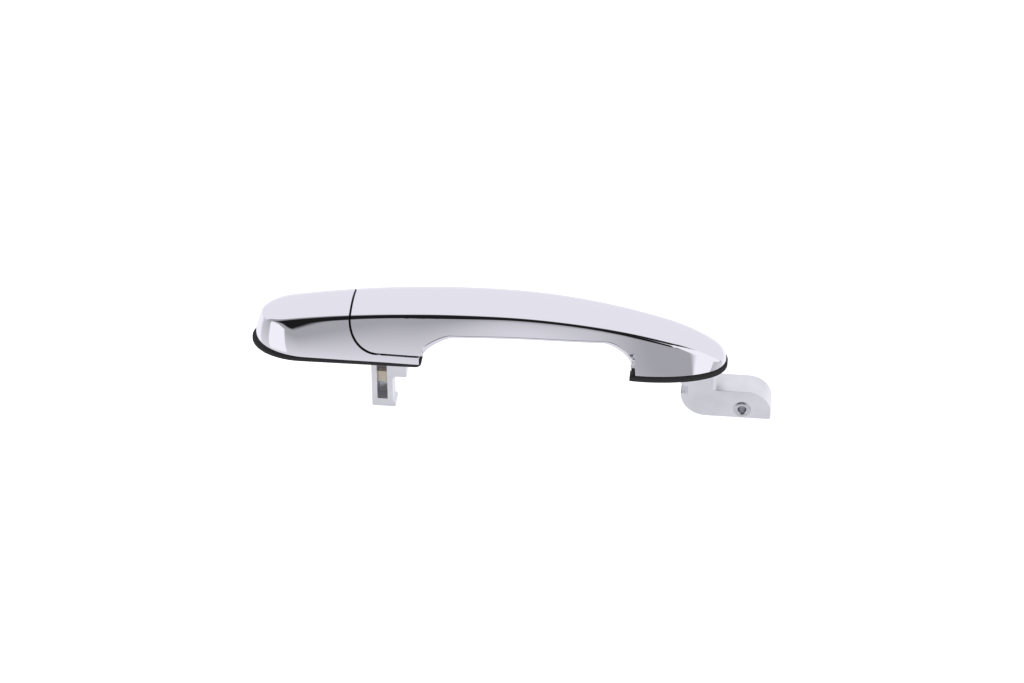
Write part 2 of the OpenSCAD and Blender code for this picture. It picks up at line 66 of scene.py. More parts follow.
class HandleSettings(bpy.types.PropertyGroup):
    """Sizes and colours that the operators read."""

    crease_radius: FloatProperty(
        name="Crease Radius", description="Rounding of the crease between face and side",
        default=0.0015, min=0.0001, max=0.002, unit="LENGTH")
    edge_radius: FloatProperty(
        name="Edge Radius", description="Rounding of the chrome's seam and lower edges",
        default=0.00045, min=0.0001, max=0.001, unit="LENGTH")
    shell_wall: FloatProperty(
        name="Shell Wall", description="Thickness of the chrome shells",
        default=0.0018, min=0.001, max=0.0022, unit="LENGTH")
    side_bulge: FloatProperty(
        name="Side Bulge", description="How far the grip's sides swell between crease and underside",
        default=0.0012, min=0.0, max=0.002, unit="LENGTH")
    cast_radius: FloatProperty(
        name="Casting Radius", description="Rounding of the edges of the zinc castings",
        default=0.0006, min=0.0002, max=0.001, unit="LENGTH")
    gasket_radius: FloatProperty(
        name="Gasket Radius", description="Rounding of the gaskets' edges",
        default=0.0007, min=0.0002, max=0.001, unit="LENGTH")
    chrome_colour: FloatVectorProperty(
        name="Chrome", description="Colour of the plated shells", subtype="COLOR",
        size=3, default=(0.86, 0.855, 0.90), min=0.0, max=1.0)
    zinc_colour: FloatVectorProperty(
        name="Zinc", description="Colour of the zinc castings", subtype="COLOR",
        size=3, default=(0.94, 0.94, 0.975), min=0.0, max=1.0)
    rubber_colour: FloatVectorProperty(
        name="Rubber", description="Colour of the gaskets", subtype="COLOR",
        size=3, default=(0.012, 0.012, 0.013), min=0.0, max=1.0)
    floor_colour: FloatVectorProperty(
        name="Floor", description="Colour of the studio floor", subtype="COLOR",
        size=3, default=(0.86, 0.86, 0.87), min=0.0, max=1.0)


# ---------------------------------------------------------------- shape of the chrome body


def clamp01(v):
    return min(1.0, max(0.0, v))


def smooth(v):
    u = clamp01(v)
    return u * u * (3 - 2 * u)


def mix(a, b, k):
    return a + (b - a) * k


def round_end(d, r, n=2.0):
    """Share of the full width at a distance d from a rounded end of length r."""
    if d >= r:
        return 1.0
    return (1 - (1 - max(d, 0.0) / r) ** n) ** (1 / n)


class Form:
    """The chrome body's outline in millimetres, with heights counted from the door skin."""

    crease_h = 29.0
    crease_w = 27.0
    crown_h = 3.0
    drop_rear = 13.6
    drop_front = 20.1
    cap_l = 51.6
    tongue_l = 35.5
    tongue_top = 6.3
    seam_gap = 1.1
    seam_turn = 14.0
    arch_h = 17.0
    front_foot_l = 47.0
    arch_rear_l = 15.0
    arch_front_l = 14.5
    rear_power = 1.35
    front_power = 1.45
    rim = 0.8
    rear_rim = 2.0
    lip_h = 6.5
    lip_t = 1.4
    crease_inset = 5.5
    crease_end_r = 13.5
    nose_l = 43.5
    nose_fall = 24.8
    nose_power = 2.2
    nose_blunt = 0.65
    rear_end = 27.0
    sole = 3.2
    overhang = 2.0          # the grip's rear foot past the tongue
    foot_blend = 9.0        # how far the feet's widening reaches past the arch
    apex_share = 0.53       # place of the highest point along the handle
    crease_mid = 38.0       # widest place of the creases, behind the arch's middle
    crease_span = 112.0
    crease_taper = 2.8
    nose_pinch = 0.4        # narrowing of the creases above the front foot
    cap_barrel = 2.0        # power of the sides' curve at the cap
    nose_barrel = 1.05      # and at the nose
    swell_mid = 15.0        # middle of the grip's swelling, behind the arch's middle
    swell_flat = 10.0       # half length of its full height
    swell_fade = 50.0
    swell_depth = 4.0       # depth below the crease in which it grows

    def __init__(self, bulge):
        rear_low, rear_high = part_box("rear_gasket")
        front_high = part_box("front_gasket")[1]
        self.door = rear_low[2] / MM
        self.base = rear_high[2] / MM - self.door
        self.rear = rear_low[0] / MM
        self.front = front_high[0] / MM
        self.foot_w = (rear_high[1] - rear_low[1]) / MM - 2 * self.rim
        self.bulge = bulge / MM
        length = self.front - self.rear
        self.seam = self.rear + self.cap_l
        self.tongue = self.seam + self.tongue_l
        self.heel = self.tongue + self.overhang
        self.toe = self.front - self.front_foot_l
        self.mid = (self.heel + self.toe) / 2
        self.reach = (self.toe - self.heel) / 2 + self.foot_blend
        self.apex = self.rear + self.apex_share * length
        self.tail = self.rear + self.rear_rim
        self.tip = self.front - self.rim
        self.crease_tail = self.rear + self.crease_inset
        self.grip_low = self.tongue_top + self.seam_gap

    def place(self, x, y, z):
        """A point of the form in metres, in the row frame."""
        return Vector((x * MM, y * MM, (z + self.door) * MM))

    def foot_half(self, x):
        blend = smooth(abs(x - self.mid) / self.reach)
        return self.crease_w / 2 + (self.foot_w - self.crease_w) / 2 * blend

    def crease_z(self, x):
        if x < self.apex:
            span, drop = self.apex - self.rear, self.drop_rear
        else:
            span, drop = self.front - self.apex, self.drop_front
        z = self.crease_h - drop * ((x - self.apex) / span) ** 2
        nose = round_end(self.tip - x, self.nose_fall) ** self.nose_blunt
        return self.base + (z - self.base) * nose

    def crease_full(self, x):
        """Half width between the creases, before the tail's end is rounded."""
        d = (x - self.mid + self.crease_mid) / self.crease_span
        full = self.crease_w / 2 - self.crease_taper * d * d
        near_tip = clamp01((x - self.tip + self.nose_fall) / self.nose_fall)
        into_nose = smooth((x - self.tip + 2 * self.nose_fall) / self.nose_fall)
        return min(full, self.low_half(x) * (1 - self.nose_pinch * (into_nose - near_tip ** 3)))

    def low_half(self, x):
        """Half width at the door edge, before the tail's end is rounded."""
        return self.foot_half(x) * round_end(self.tip - x, self.nose_l, self.nose_power)

    def spread(self, x, z):
        """0 at the crease and 1 at the door edge: barrelled at the cap and straight at the nose."""
        top = self.crease_z(x)
        s = clamp01((top - z) / max(0.5, top - self.base))
        power = mix(self.cap_barrel, self.nose_barrel, smooth((x - self.mid + 20) / 60))
        return 1 - (1 - s) ** power

    def half(self, x, z):
        """Half width of the side at a place and height."""
        k = self.spread(x, z)
        wide = mix(self.crease_full(x), self.low_half(x), k)
        near_middle = 1 - smooth((abs(x - self.mid + self.swell_mid) - self.swell_flat) / self.swell_fade)
        swell = self.bulge * (1 - math.exp((z - self.crease_z(x)) / self.swell_depth)) * near_middle
        end = round_end(x - mix(self.crease_tail, self.tail, k), mix(self.crease_end_r, self.rear_end, k))
        return (wide + swell) * end

    def crease_half(self, x):
        return self.half(x, self.crease_z(x))

    def crown(self, x):
        return self.crown_h * clamp01(self.crease_half(x) / self.crease_w * 2)

    def face_z(self, x, share):
        """Height of the crowned face, share running from -1 to 1 between the creases."""
        return self.crease_z(x) + self.crown(x) * (1 - share * share)

    def seam_x(self, v, gap=0.0):
        """Place of the seam, v running from 0 at the crease to 1 at the tongue."""
        return self.seam + gap + self.seam_turn * (1 - math.sqrt(max(0.0, 1 - v * v)))

    def arch_rear(self, k, t):
        a = math.pi / 2 * k
        n = 2 / self.rear_power
        x = self.heel - t + self.arch_rear_l * (1 - math.cos(a) ** n)
        return x, self.grip_low + t + (self.arch_h - self.grip_low) * math.sin(a) ** n

    def arch_front(self, k, t):
        a = math.pi / 2 * (1 - k)
        n = 2 / self.front_power
        heel = self.lip_h + 0.3
        x = self.toe + t - self.arch_front_l * (1 - math.cos(a) ** n)
        return x, heel + t + (self.arch_h - heel) * math.sin(a) ** n


# ---------------------------------------------------------------- mesh helpers


def sheet(bm, rows):
    """Quads between rows of points. Points that already exist are shared."""
    for a, b in zip(rows, rows[1:]):
        for i in range(len(a) - 1):
            quad = [a[i], a[i + 1], b[i + 1], b[i]]
            corners = []
            for v in quad:
                if v not in corners:
                    corners.append(v)
            if len(corners) > 2:
                bm.faces.new(corners)


def new_object(name, bm):
    """A smooth-shaded object with its normals pointing outwards."""
    bmesh.ops.remove_doubles(bm, verts=bm.verts, dist=2e-6)
    bmesh.ops.dissolve_degenerate(bm, edges=bm.edges, dist=1e-6)
    bmesh.ops.recalc_face_normals(bm, faces=bm.faces)
    for f in bm.faces:
        f.smooth = True
    mesh = bpy.data.meshes.new(name)
    bm.to_mesh(mesh)
    bm.free()
    obj = bpy.data.objects.new(name, mesh)
    bpy.context.scene.collection.objects.link(obj)
    return obj


def add_shell(obj, wall):
    mod = obj.modifiers.new("Wall", "SOLIDIFY")
    mod.thickness = wall
    mod.offset = -1
    return mod


def add_bevel(obj, width, segments=3, angle=35):
    mod = obj.modifiers.new("Edges", "BEVEL")
    mod.width = width
    mod.segments = segments
    mod.limit_method = "ANGLE"
    mod.angle_limit = math.radians(angle)
    mod.harden_normals = True
    return mod


def cut(obj, cutter):
    """Takes the cutter out of obj, then removes the cutter."""
    mod = obj.modifiers.new("Cut", "BOOLEAN")
    mod.operation = "DIFFERENCE"
    mod.solver = "EXACT"
    mod.object = cutter
    bake(obj)
    bpy.data.objects.remove(cutter)


def bake(obj):
    """Replaces obj's mesh by the mesh that its modifiers make."""
    bpy.context.view_layer.update()
    graph = bpy.context.evaluated_depsgraph_get()
    mesh = bpy.data.meshes.new_from_object(obj.evaluated_get(graph))
    obj.modifiers.clear()
    obj.data = mesh
    for p in mesh.polygons:
        p.use_smooth = True


def finish_piece(obj, material, body, slot, *nodes):
    obj.data.materials.clear()
    obj.data.materials.append(material)
    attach(obj, body)
    if nodes:
        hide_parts(*nodes)


def arc(cx, cy, r, start, end, steps=16):
    """Points along an arc, angles in degrees."""
    return [
        (cx + r * math.cos(math.radians(mix(start, end, i / steps))),
         cy + r * math.sin(math.radians(mix(start, end, i / steps))))
        for i in range(steps + 1)]


def profile_solid(name, outline, low, high, place):
    """A closed outline pushed from low to high. place turns (a, b, height) into a point."""
    bm = bmesh.new()
    rings = [[bm.verts.new(place(a, b, h)) for a, b in outline] for h in (low, high)]
    bm.faces.new(rings[0])
    bm.faces.new(list(reversed(rings[1])))
    n = len(outline)
    for i in range(n):
        j = (i + 1) % n
        bm.faces.new([rings[0][i], rings[0][j], rings[1][j], rings[1][i]])
    return new_object(name, bm)


def tube(name, centre, axis, rings, steps=64):
    """A turned solid: rings are (distance along the axis, radius), closed from last to first."""
    side = Vector((1, 0, 0)) if abs(axis.x) < 0.5 else Vector((0, 0, 1))
    u = axis.cross(side).normalized()
    w = axis.cross(u)
    bm = bmesh.new()
    loops = []
    for along, r in rings:
        loops.append([
            bm.verts.new(centre + axis * along + (u * math.cos(a) + w * math.sin(a)) * r)
            for a in (2 * math.pi * i / steps for i in range(steps))])
    for a, b in zip(loops, loops[1:] + loops[:1]):
        for i in range(steps):
            j = (i + 1) % steps
            bm.faces.new([a[i], a[j], b[j], b[i]])
    return new_object(name, bm)


# ---------------------------------------------------------------- shader helpers


class Wire:
    """A shader socket that Python expressions turn into Math nodes."""

    def __init__(self, tree, socket):
        self.tree = tree
        self.socket = socket

    def _math(self, operation, *values):
        node = self.tree.nodes.new("ShaderNodeMath")
        node.operation = operation
        for i, v in enumerate(values):
            link_or_set(self.tree, v, node.inputs[i])
        return Wire(self.tree, node.outputs[0])

    def __add__(self, other):
        return self._math("ADD", self, other)

    def __radd__(self, other):
        return self._math("ADD", other, self)

    def __sub__(self, other):
        return self._math("SUBTRACT", self, other)

    def __rsub__(self, other):
        return self._math("SUBTRACT", other, self)

    def __mul__(self, other):
        return self._math("MULTIPLY", self, other)

    def __rmul__(self, other):
        return self._math("MULTIPLY", other, self)

    def __truediv__(self, other):
        return self._math("DIVIDE", self, other)

    def __pow__(self, other):
        return self._math("POWER", self, other)

    def __neg__(self):
        return self._math("MULTIPLY", self, -1.0)

    def __abs__(self):
        return self._math("ABSOLUTE", self)

    def clamp(self, low=0.0, high=1.0):
        return self._math("MINIMUM", self._math("MAXIMUM", self, low), high)

    def ramp(self, start, end):
        """0 at start and 1 at end, straight between them."""
        return ((self - start) / (end - start)).clamp()


def link_or_set(tree, value, socket):
    if isinstance(value, Wire):
        tree.links.new(value.socket, socket)
    elif isinstance(value, (tuple, list)) and len(value) == 3 and socket.type == "RGBA":
        socket.default_value = (*value, 1.0)
    else:
        socket.default_value = value


def socket_name(key):
    return key.replace("_", " ").title().replace("Ior", "IOR")


class Shader:
    """A material and the nodes that feed its Principled shader."""

    def __init__(self, name, **constants):
        self.material = bpy.data.materials.new(name)
        self.material.use_nodes = True
        self.tree = self.material.node_tree
        self.principled = self.tree.nodes["Principled BSDF"]
        self.feed(**constants)

    def feed(self, **values):
        for key, value in values.items():
            link_or_set(self.tree, value, self.principled.inputs[socket_name(key)])

    def node(self, kind, output=0, settings=None, **inputs):
        node = self.tree.nodes.new("ShaderNode" + kind)
        for key, value in (settings or {}).items():
            setattr(node, key, value)
        for key, value in inputs.items():
            link_or_set(self.tree, value, node.inputs[socket_name(key)])
        return Wire(self.tree, node.outputs[output])

    def place(self):
        """Object coordinates."""
        return self.node("TexCoord", output="Object")

    def noise(self, scale, detail=2.0, roughness=0.5):
        return self.node("TexNoise", vector=self.place(), scale=scale, detail=detail, roughness=roughness)

    def blend(self, a, b, factor):
        """A colour between a and b."""
        node = self.tree.nodes.new("ShaderNodeMix")
        node.data_type = "RGBA"
        link_or_set(self.tree, factor, node.inputs[0])
        link_or_set(self.tree, a, node.inputs[6])
        link_or_set(self.tree, b, node.inputs[7])
        return Wire(self.tree, node.outputs[2])

    def bump(self, height, strength, distance):
        self.feed(normal=self.node("Bump", strength=strength, distance=distance, height=height))


def chrome(name, colour):
    s = Shader(name, base_color=colour, metallic=1.0)
    haze = s.noise(30.0, 3.0)
    specks = (s.noise(900.0, 1.0) - 0.72).clamp() * 0.5
    s.feed(roughness=(haze - 0.45).clamp() * 0.06 + 0.035 + specks)
    s.bump(s.noise(18.0, 1.0), 0.10, 0.0004)
    return s.material


def zinc(name, colour):
    s = Shader(name, metallic=1.0)
    grain = s.noise(420.0, 4.0, 0.65)
    cloud = s.noise(60.0, 3.0)
    dark = tuple(0.78 * c for c in colour)
    s.feed(base_color=s.blend(dark, colour, (cloud * 1.4 - 0.15).clamp()))
    s.feed(roughness=0.24 + 0.22 * grain)
    s.bump(grain, 0.22, 0.0003)
    return s.material


def rubber(name, colour):
    s = Shader(name, base_color=colour, specular_ior_level=0.35)
    grain = s.noise(900.0, 3.0)
    s.feed(roughness=0.55 + 0.2 * grain)
    s.bump(grain, 0.25, 0.0002)
    return s.material


def plastic(name, colour, rough=0.5):
    s = Shader(name, base_color=colour, specular_ior_level=0.4)
    grain = s.noise(600.0, 2.0)
    s.feed(roughness=rough - 0.1 + 0.2 * grain)
    s.bump(grain, 0.15, 0.0002)
    return s.material


def turned_metal(name, colour, rough=0.28):
    s = Shader(name, metallic=1.0, base_color=colour)
    grain = s.noise(700.0, 3.0)
    s.feed(roughness=rough - 0.06 + 0.14 * grain)
    return s.material


MATERIALS = {}


def make_materials(settings):
    plated = tuple(settings.chrome_colour)
    MATERIALS.update({
        "chrome": chrome("chrome", plated),
        "inner_chrome": chrome("inner_chrome", plated),
        "zinc": zinc("zinc", tuple(settings.zinc_colour)),
        "rubber": rubber("rubber", tuple(settings.rubber_colour)),
        "black_plastic": plastic("black_plastic", (0.022, 0.022, 0.024)),
        "beige_plastic": plastic("beige_plastic", (0.62, 0.55, 0.44), 0.45),
        "steel": turned_metal("steel", (0.66, 0.66, 0.69)),
        "brass": turned_metal("brass", (0.78, 0.58, 0.27)),
    })
    for row in frame["record"]["subparts"]:
        obj = frame["nodes"][row["node"]]
        obj.data.materials.clear()
        obj.data.materials.append(MATERIALS[row["material_slot"]])


# ---------------------------------------------------------------- chrome shells


CREASE_ROWS = 5
FACE_ROWS = 22


def crease_bend(side_point, crease, face_point, k):
    """A point on the rounded crease, k running from the side to the face."""
    a = side_point.lerp(crease, k)
    b = crease.lerp(face_point, k)
    return a.lerp(b, k)


def section_points(form, radius, spine, top_x):
    """One line of points around the body. spine lists (x, z) from the lower edge up to the crease."""
    zc = form.crease_z(top_x)
    half = form.half(top_x, zc)
    side = [form.place(x, -form.half(x, z), z) for x, z in spine]
    crease = form.place(top_x, -half, zc)
    reach = min(radius / MM, half * 0.35 + 0.01)
    inner = 1 - reach / max(half, 0.02)
    face_point = form.place(top_x, -half * inner, form.face_z(top_x, inner))
    room = min(reach * MM, 0.45 * (side[0] - crease).length)
    last = max(i for i, p in enumerate(side) if (p - crease).length >= room)
    above = side[min(last + 1, len(side) - 1)]
    far, near = (side[last] - crease).length, (above - crease).length
    side_point = side[last].lerp(above, (far - room) / max(far - near, 1e-9))
    for i in range(last + 1, len(side)):
        k = 0.5 * (i - last) / (len(side) - last)
        side[i] = crease_bend(side_point, crease, face_point, k)
    bend = [
        crease_bend(side_point, crease, face_point, 0.5 + 0.5 * i / CREASE_ROWS)
        for i in range(CREASE_ROWS)]
    face = []
    for i in range(FACE_ROWS + 1):
        share = inner * (2 * i / FACE_ROWS - 1)
        face.append(form.place(top_x, half * share, form.face_z(top_x, share)))
    near_side = side + bend
    return near_side + face + [Vector((p.x, -p.y, p.z)) for p in reversed(near_side)]


def closing(n, start, end):
    """n places after start, up to end and close together there."""
    return [mix(start, end, math.cos(math.pi / 2 * (n - i) / n)) for i in range(1, n + 1)]


SIDE_ROWS = 26
SKIRT_ROWS = 6
BAND = 2.2                      # height of the grip's inner strip, in millimetres
HOOK_OPENING_HALF = 6.4 * MM    # half width of the hook's way through tongue and gasket


def level(t):
    """Share of the way down the side, with the rows close together at both ends."""
    return math.sin(math.pi / 2 * t ** 1.35)


def cap_spine(form, along):
    """Side line of the cap at a share along it: up the skirt to the tongue's level, then to the crease."""
    tail_steps = 0.4
    rows = []
    levels = [level(i / SIDE_ROWS) for i in range(SIDE_ROWS, -1, -1)]

    def x_at(level_x_end, k_spread):
        tip = mix(form.crease_tail, form.tail, k_spread)
        r = mix(form.crease_end_r, form.rear_end, k_spread)
        if along < tail_steps:
            return tip + r * (1 - math.cos(math.pi / 2 * along / tail_steps))
        return mix(tip + r, level_x_end, (along - tail_steps) / (1 - tail_steps))

    def solve(v, end):
        x = form.tail + form.foot_w / 2 * along
        z = form.tongue_top
        for _ in range(12):
            zc = form.crease_z(x)
            z = mix(zc, form.tongue_top, v)
            x = x_at(end, form.spread(x, z))
        return x, z

    for v in levels:
        rows.append(solve(v, form.seam_x(v)))
    skirt = []
    for i in range(SKIRT_ROWS):
        z = mix(form.base, form.tongue_top, i / SKIRT_ROWS)
        x = rows[0][0]
        for _ in range(12):
            x = x_at(form.seam_x(1.0), form.spread(x, z))
        skirt.append((x, z))
    return skirt + rows


def ruled(bm, near, far, steps, skip=None):
    """A surface of straight lines across the handle between two matching edges."""
    lines = []
    for a, b in zip(near, far):
        lines.append([a] + [bm.verts.new(a.co.lerp(b.co, i / steps)) for i in range(1, steps)] + [b])
    for p, q in zip(lines, lines[1:]):
        for i in range(steps):
            corners = []
            for v in (p[i], p[i + 1], q[i + 1], q[i]):
                if v not in corners:
                    corners.append(v)
            centre = sum((v.co for v in corners), Vector()) / len(corners)
            if len(corners) > 2 and not (skip and skip(centre)):
                bm.faces.new(corners)


def make_cap(settings):
    form = Form(settings.side_bulge)
    bm = bmesh.new()
    sections = []
    count = 70
    for i in range(count + 1):
        along = i / count
        spine = cap_spine(form, along)
        points = section_points(form, settings.crease_radius, spine, spine[-1][0])
        sections.append([bm.verts.new(p) for p in points])
    sheet(bm, sections)
    last = sections[-1]
    side_count = SKIRT_ROWS + SIDE_ROWS + 1
    # the skirt runs on along the tongue
    tongue_steps = 24
    start = form.seam_x(1.0)
    near_lines, far_lines = [last[:SKIRT_ROWS + 1]], [list(reversed(last[-SKIRT_ROWS - 1:]))]
    for i in range(1, tongue_steps + 1):
        x = mix(start, form.tongue, i / tongue_steps)
        near, far = [], []
        for j in range(SKIRT_ROWS + 1):
            z = mix(form.base, form.tongue_top, j / SKIRT_ROWS)
            y = form.half(x, z)
            near.append(bm.verts.new(form.place(x, -y, z)))
            far.append(bm.verts.new(form.place(x, y, z)))
        near_lines.append(near)
        far_lines.append(far)
    sheet(bm, near_lines)
    sheet(bm, far_lines)
    # the seam's wall, the tongue's top and its end, straight across
    hook_low, hook_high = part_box("rear_hook")
    room = 2.6 * MM
    half = HOOK_OPENING_HALF

    def in_opening(p):
        over_tongue = p.z < form.place(0, 0, form.tongue_top + 4).z
        return over_tongue and hook_low[0] - room < p.x < hook_high[0] + room and abs(p.y) < half

    near_edge = list(reversed(last[SKIRT_ROWS:side_count + CREASE_ROWS]))
    far_edge = last[-(side_count + CREASE_ROWS):len(last) - SKIRT_ROWS]
    near_edge += [line[-1] for line in near_lines[1:]] + list(reversed(near_lines[-1][:-1]))
    far_edge += [line[-1] for line in far_lines[1:]] + list(reversed(far_lines[-1][:-1]))
    ruled(bm, near_edge, far_edge, 30, in_opening)
    fill_crown(bm, last, side_count)
    obj = new_object("cap_shell", bm)
    add_shell(obj, settings.shell_wall)
    add_bevel(obj, settings.edge_radius)
    finish_piece(obj, MATERIALS["chrome"], "door_side", "chrome", "end_cap")
    # painted shade: the seam's walls are made black to stand for the shade in the gap
    paint_seam_shade(obj, form)


def paint_seam_shade(obj, form):
    """Painted shade: the walls that face the seam get black plastic so that the gap reads dark. On the real
    handle they are chrome, dark only from shade.
    """
    # painted shade: black plastic stands in for the shade inside the seam's gap
    obj.data.materials.append(MATERIALS["black_plastic"])
    for p in obj.data.polygons:
        x, z = p.center.x / MM, p.center.z / MM - form.door
        in_seam = form.seam - 1 < x < form.seam + form.seam_turn + 3
        in_height = form.tongue_top - 1 < z < form.crease_h + form.crown_h
        if in_seam and in_height and abs(p.normal.y) < 0.4 and abs(p.normal.x) > 0.25:
            p.material_index = 1


def fill_crown(bm, section, side_count):
    """Closes the end of the body between the crowned face and a straight line under it."""
    first = side_count + CREASE_ROWS - 1
    top = section[first:first + FACE_ROWS + 3]
    bm.faces.new(top)


def grip_columns(form, band):
    """Lower edge and crease place of each section along the grip, from the seam to the nose."""
    gap = form.seam_gap
    columns = []

    def part(n, lower, top, skip_first=True):
        for i in range(1 if skip_first else 0, n + 1):
            columns.append((lower(i / n), mix(top[0], top[1], i / n)))

    part(22, lambda k: (mix(form.seam_x(1.0, gap), form.heel, k), form.grip_low),
         (form.seam + gap, form.heel - 8), False)
    part(26, lambda k: form.arch_rear(k, band * smooth(k * 3)), (form.heel - 8, form.heel + 14))
    rear_end = form.arch_rear(1, band)
    front_start = form.arch_front(0, band)
    part(40, lambda k: (mix(rear_end[0], front_start[0], k), mix(rear_end[1], front_start[1], k)),
         (form.heel + 14, form.toe - 14))
    part(26, lambda k: form.arch_front(k, band * smooth((1 - k) * 3)), (form.toe - 14, form.toe + 1))
    room = 0.3
    slant = 0.4
    step_x = form.toe + form.lip_t + room
    over_lip = form.lip_h + room
    part(4, lambda k: (form.arch_front(1, 0)[0] + (form.lip_t + room) * k, over_lip),
         (form.toe + 1, form.toe + 2.5))
    part(5, lambda k: (step_x + slant * k, mix(over_lip, form.sole, k)),
         (form.toe + 2.5, form.toe + 4))
    start = step_x + slant
    part(24, lambda k: (mix(start, form.tip - form.nose_fall, k), form.sole),
         (form.toe + 4, form.tip - form.nose_fall))
    for x in closing(30, form.tip - form.nose_fall, form.tip - 0.02):
        columns.append(((x, form.sole), x))
    return columns


def grip_spine(form, columns, index):
    """Side line from the lower edge to the crease. Near the seam it bends to follow the seam."""
    (low_x, low_z), top_x = columns[index]
    gap = form.seam_gap
    zc = form.crease_z(top_x)
    seam_share = smooth(1 - index / 24)
    (x0, _), t0 = columns[0]
    rows = []
    for i in range(SIDE_ROWS + SKIRT_ROWS, -1, -1):
        v = level(i / (SIDE_ROWS + SKIRT_ROWS))
        x = mix(top_x, low_x, v)
        bend = form.seam_x(v, gap) - mix(t0, x0, v)
        x += bend * seam_share
        rows.append((x, min(mix(zc, low_z, v), form.crease_z(x))))
    return rows


def make_grip(settings):
    form = Form(settings.side_bulge)
    columns = grip_columns(form, BAND)
    bm = bmesh.new()
    sections = []
    for i in range(len(columns)):
        spine = grip_spine(form, columns, i)
        points = section_points(form, settings.crease_radius, spine, columns[i][1])
        sections.append([bm.verts.new(p) for p in points])
    sheet(bm, sections)
    side_count = SIDE_ROWS + SKIRT_ROWS + 1
    first = sections[0]
    near_edge = list(reversed(first[:side_count + CREASE_ROWS]))
    far_edge = first[-(side_count + CREASE_ROWS):]
    ruled(bm, near_edge, far_edge, 20)
    fill_crown(bm, first, side_count)
    obj = new_object("grip_shell", bm)
    add_shell(obj, settings.shell_wall)
    add_bevel(obj, settings.edge_radius)
    finish_piece(obj, MATERIALS["chrome"], "grip", "chrome", "grip_outer_shell")


def make_underside(settings):
    """The strip under the finger arch, with its rounded lower edges, and the soles of both feet."""
    form = Form(settings.side_bulge)
    split = 0.04
    inside = settings.shell_wall / MM + 0.15
    bm = bmesh.new()
    lines = []

    def line(edge, low, inset, radius):
        """One line across: up the near side, round the edge, straight across, and up the far side."""
        y_side = max(0.05, form.half(*edge) - inset)
        y_low = max(0.04, min(y_side, form.half(*low) - inset))
        flat = max(0.03, y_low - radius)
        corner = form.place(low[0], -y_low, low[1])
        a = form.place(edge[0], -y_side, edge[1])
        b = form.place(low[0], -flat, low[1])
        near = [a.lerp(corner, k).lerp(corner.lerp(b, k), k) for k in (i / 8 for i in range(9))]
        across = [form.place(low[0], flat * (2 * i / 12 - 1), low[1]) for i in range(1, 12)]
        far = [Vector((p.x, -p.y, p.z)) for p in reversed(near)]
        lines.append([bm.verts.new(p) for p in near + across + far])

    tuck = BAND - split
    for i in range(12):
        x = mix(form.seam_x(1.0, form.seam_gap) + 4, form.heel - 0.6, i / 11)
        line((x, form.grip_low + tuck * 0.6), (x, form.grip_low + 0.05), inside, 0.4)
    for i in range(1, 27):
        k = i / 26
        t = tuck * smooth(k * 3)
        hide = inside * (1 - smooth(k * 4))
        line(form.arch_rear(k, max(t, 0.5)), form.arch_rear(k, 0), hide, max(0.4, t))
    rear_end, front_start = form.arch_rear(1, 0), form.arch_front(0, 0)
    for i in range(1, 40):
        x = mix(rear_end[0], front_start[0], i / 40)
        line((x, form.arch_h + tuck), (x, form.arch_h), 0, tuck)
    for i in range(0, 26):
        k = i / 26
        t = tuck * smooth((1 - k) * 3)
        hide = inside * (1 - smooth((1 - k) * 4))
        line(form.arch_front(k, max(t, 0.5)), form.arch_front(k, 0), hide, max(0.4, t))
    step = form.toe + form.lip_t + 0.35
    for x, z in ((step, form.lip_h + 0.4), (step + 0.3, form.sole + 0.05)):
        line((x + 0.3, z + 1.2), (x, z), inside, 0.4)
    for i in range(1, 24):
        x = mix(step + 0.3, form.tip - 4, i / 23)
        line((x, form.sole + 1.2), (x, form.sole + 0.05), inside, 0.4)
    sheet(bm, lines)
    obj = new_object("grip_underside", bm)
    add_shell(obj, 1.4 * MM).offset = outward(obj)
    finish_piece(obj, MATERIALS["inner_chrome"], "grip", "inner_chrome", "grip_inner_shell")


def outward(obj):
    """Side on which a wall goes so that it grows upwards, into the grip."""
    flat = [p for p in obj.data.polygons if abs(p.normal.z) > 0.99]
    down = sum(p.area for p in flat if p.normal.z < 0)
    return -1 if down > sum(p.area for p in flat) / 2 else 1


# ---------------------------------------------------------------- gaskets


def ring_sheet(name, outline, holes, low, high, place, radius):
    """A flat sheet with holes and rounded edges, from a filled 2D curve."""
    curve = bpy.data.curves.new(name, "CURVE")
    curve.dimensions = "2D"
    curve.fill_mode = "BOTH"
    curve.extrude = (high - low) / 2 - radius
    curve.bevel_depth = radius
    curve.bevel_resolution = 3
    curve.offset = -radius
    for loop in [outline, *holes]:
        spline = curve.splines.new("POLY")
        spline.points.add(len(loop) - 1)
        for p, (a, b) in zip(spline.points, loop):
            p.co = (a, b, 0, 1)
        spline.use_cyclic_u = True
    temp = bpy.data.objects.new(name + "_curve", curve)
    bpy.context.scene.collection.objects.link(temp)
    bpy.context.view_layer.update()
    mesh = bpy.data.meshes.new_from_object(temp.evaluated_get(bpy.context.evaluated_depsgraph_get()))
    bpy.data.objects.remove(temp)
    bpy.data.curves.remove(curve)
    centre = (low + high) / 2
    bm = bmesh.new()
    bm.from_mesh(mesh)
    bpy.data.meshes.remove(mesh)
    for v in bm.verts:
        v.co = place(v.co.x, v.co.y, v.co.z + centre)
    return new_object(name, bm)


def box_loop(x0, x1, y0, y1, r):
    """A rectangle with rounded corners."""
    return (arc(x1 - r, y1 - r, r, 0, 90, 6) + arc(x0 + r, y1 - r, r, 90, 180, 6)
            + arc(x0 + r, y0 + r, r, 180, 270, 6) + arc(x1 - r, y0 + r, r, 270, 360, 6))


def gasket_place(a, b, h):
    return Vector((a, b, h))


